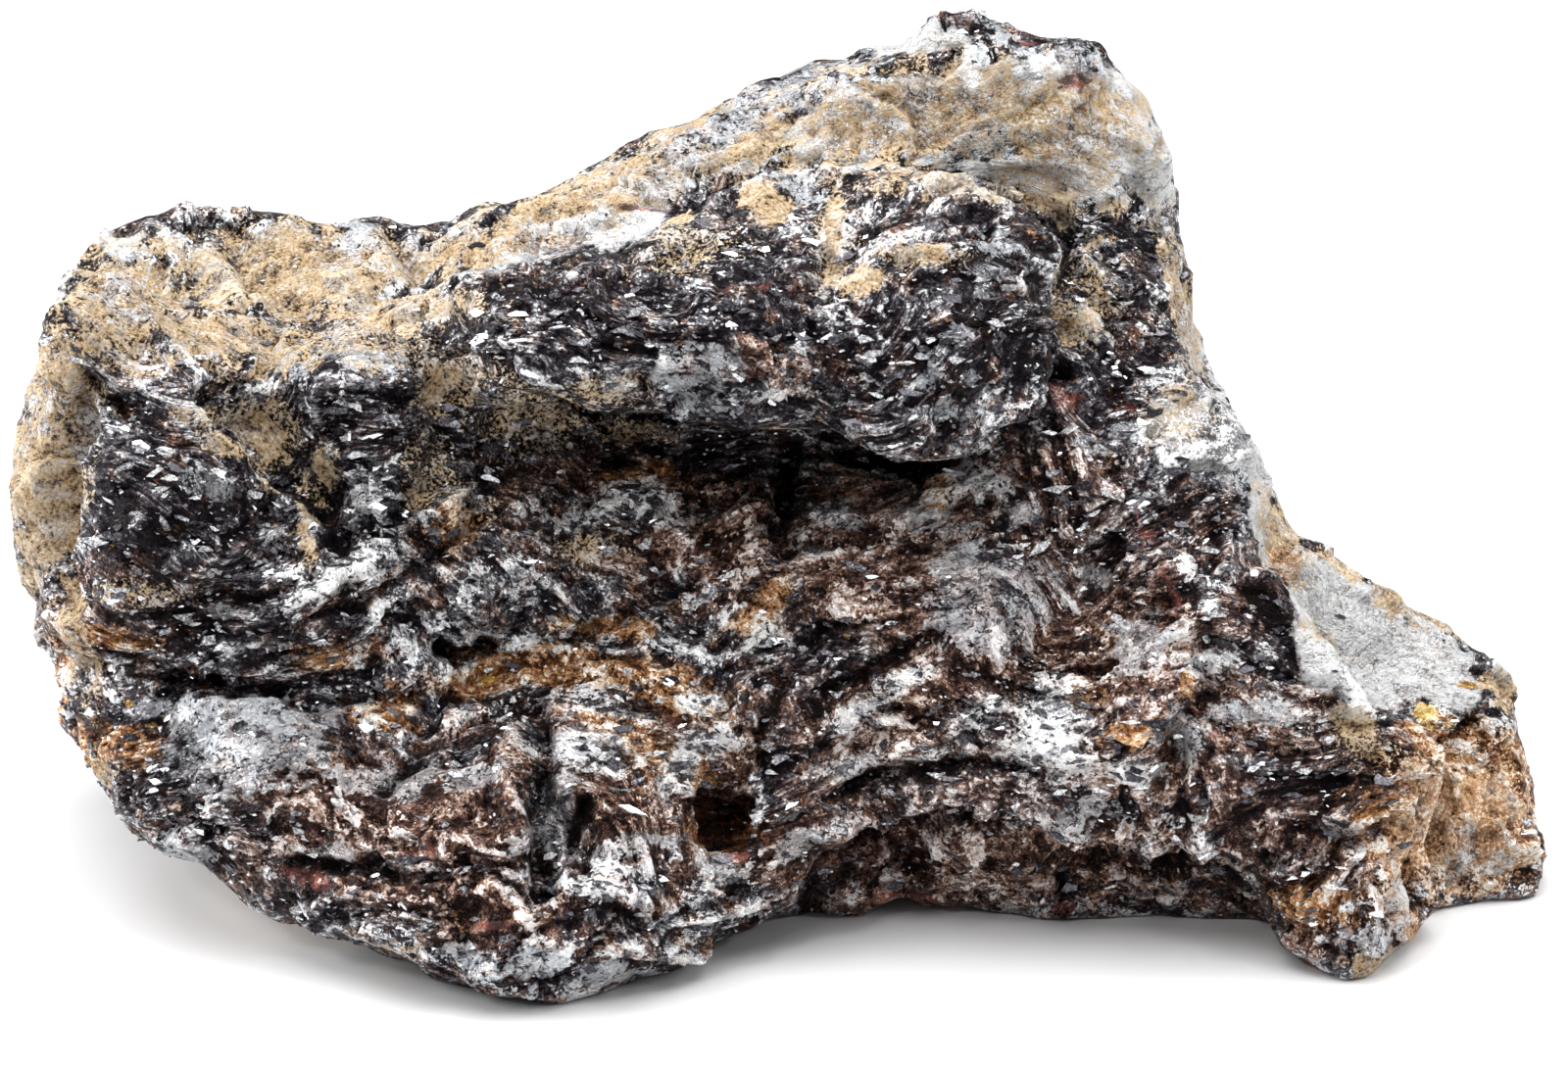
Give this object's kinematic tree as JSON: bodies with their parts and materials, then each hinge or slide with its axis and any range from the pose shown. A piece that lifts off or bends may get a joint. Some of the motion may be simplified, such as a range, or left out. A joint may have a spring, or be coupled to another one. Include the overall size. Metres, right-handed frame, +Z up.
{
  "type": "botryoidal hematite specimen",
  "caption": "Rough hand specimen of botryoidal hematite: rounded lobes and ledges over a deep recess, standing on its own broad feet.",
  "frame": {"origin": "middle of the stone's box, on the ground it rests on", "axes": "+X along the stone's length towards its low end, +Y towards its back, +Z up"},
  "size_m": [0.12, 0.0636, 0.0643],
  "materials": {
    "hematite": "glittering grey-black metallic mineral with ochre crust"
  },
  "bodies": {
    "root": {"hematite": "hematite"}
  },
  "joints": []
}
